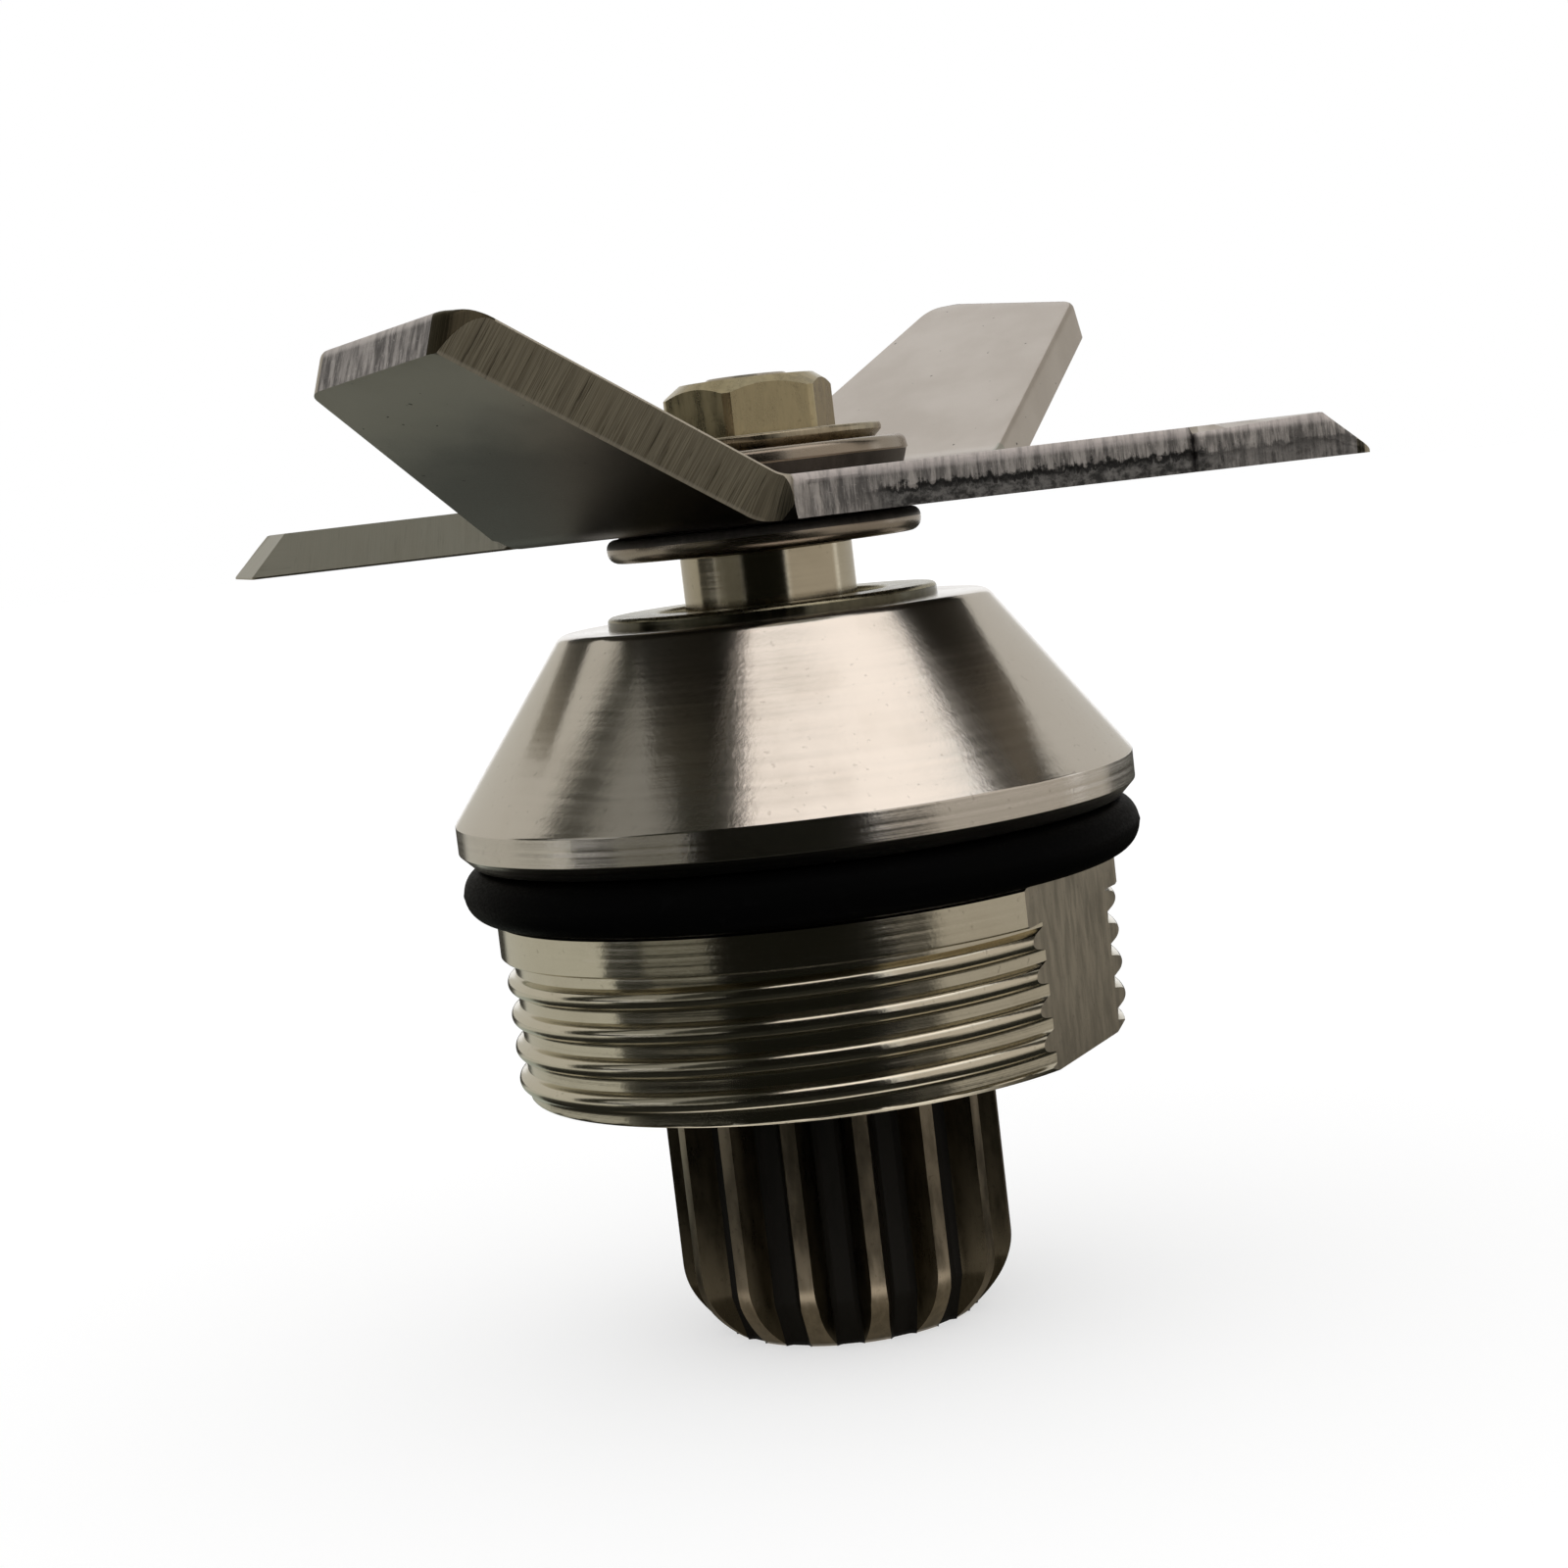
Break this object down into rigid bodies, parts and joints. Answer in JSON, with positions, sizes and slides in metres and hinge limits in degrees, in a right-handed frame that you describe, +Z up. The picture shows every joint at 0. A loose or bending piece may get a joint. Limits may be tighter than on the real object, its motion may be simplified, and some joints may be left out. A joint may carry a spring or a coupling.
{
  "type": "blender blade assembly",
  "caption": "Blender jar blade unit: turned bearing housing with conical top, O-ring and threaded boss, bent cutting blade on a spinning shaft, splined drive end below.",
  "frame": {"origin": "on the shaft axis, in the plane of the spline's end face, on which the unit stands", "axes": "+Z up along the shaft towards the nut, +X and -X square to the boss's two wrench flats"},
  "size_m": [0.0778, 0.068, 0.0656],
  "materials": {
    "housing_steel": "fine turned stainless steel",
    "blade_steel": "satin stainless sheet, ground at its cutting edges",
    "washer_steel": "turned stainless steel",
    "nut_steel": "turned stainless steel with a warm tint",
    "sleeve_steel": "smooth turned steel",
    "seal_steel": "pressed steel",
    "shaft_steel": "dark machined steel",
    "spacer_steel": "plain steel",
    "bearing_steel": "ground bearing steel",
    "cage_plastic": "moulded polyamide",
    "black_rubber": "smooth black rubber"
  },
  "bodies": {
    "housing": {"bearing_housing": "housing_steel", "o_ring": "black_rubber", "seal_case": "seal_steel", "seal_lip": "black_rubber", "upper_outer_race": "bearing_steel", "upper_shields": "bearing_steel", "lower_outer_race": "bearing_steel", "lower_shields": "bearing_steel", "outer_spacer": "spacer_steel", "retaining_ring": "spacer_steel"},
    "rotor": {"spline_shaft": "shaft_steel", "shaft_sleeve": "sleeve_steel", "lower_washer": "washer_steel", "blade": "blade_steel", "clamp_washer": "washer_steel", "lock_washer": "washer_steel", "lock_nut": "nut_steel", "upper_inner_race": "bearing_steel", "lower_inner_race": "bearing_steel", "inner_spacer": "spacer_steel"},
    "upper_ball_set": {"upper_balls": "bearing_steel", "upper_cage": "cage_plastic"},
    "lower_ball_set": {"lower_balls": "bearing_steel", "lower_cage": "cage_plastic"}
  },
  "joints": [
    {"name": "shaft_spin", "type": "hinge", "parent": "housing", "child": "rotor", "pos_m": [0, 0, 0], "axis": [0, 0, 1], "continuous": true},
    {"name": "upper_ball_spin", "type": "hinge", "parent": "housing", "child": "upper_ball_set", "pos_m": [0, 0, 0], "axis": [0, 0, 1], "continuous": true},
    {"name": "lower_ball_spin", "type": "hinge", "parent": "housing", "child": "lower_ball_set", "pos_m": [0, 0, 0], "axis": [0, 0, 1], "continuous": true}
  ],
  "couplings": [
    {"joint": "upper_ball_spin", "follows": "shaft_spin", "ratio": 0.36778},
    {"joint": "lower_ball_spin", "follows": "shaft_spin", "ratio": 0.36778}
  ]
}
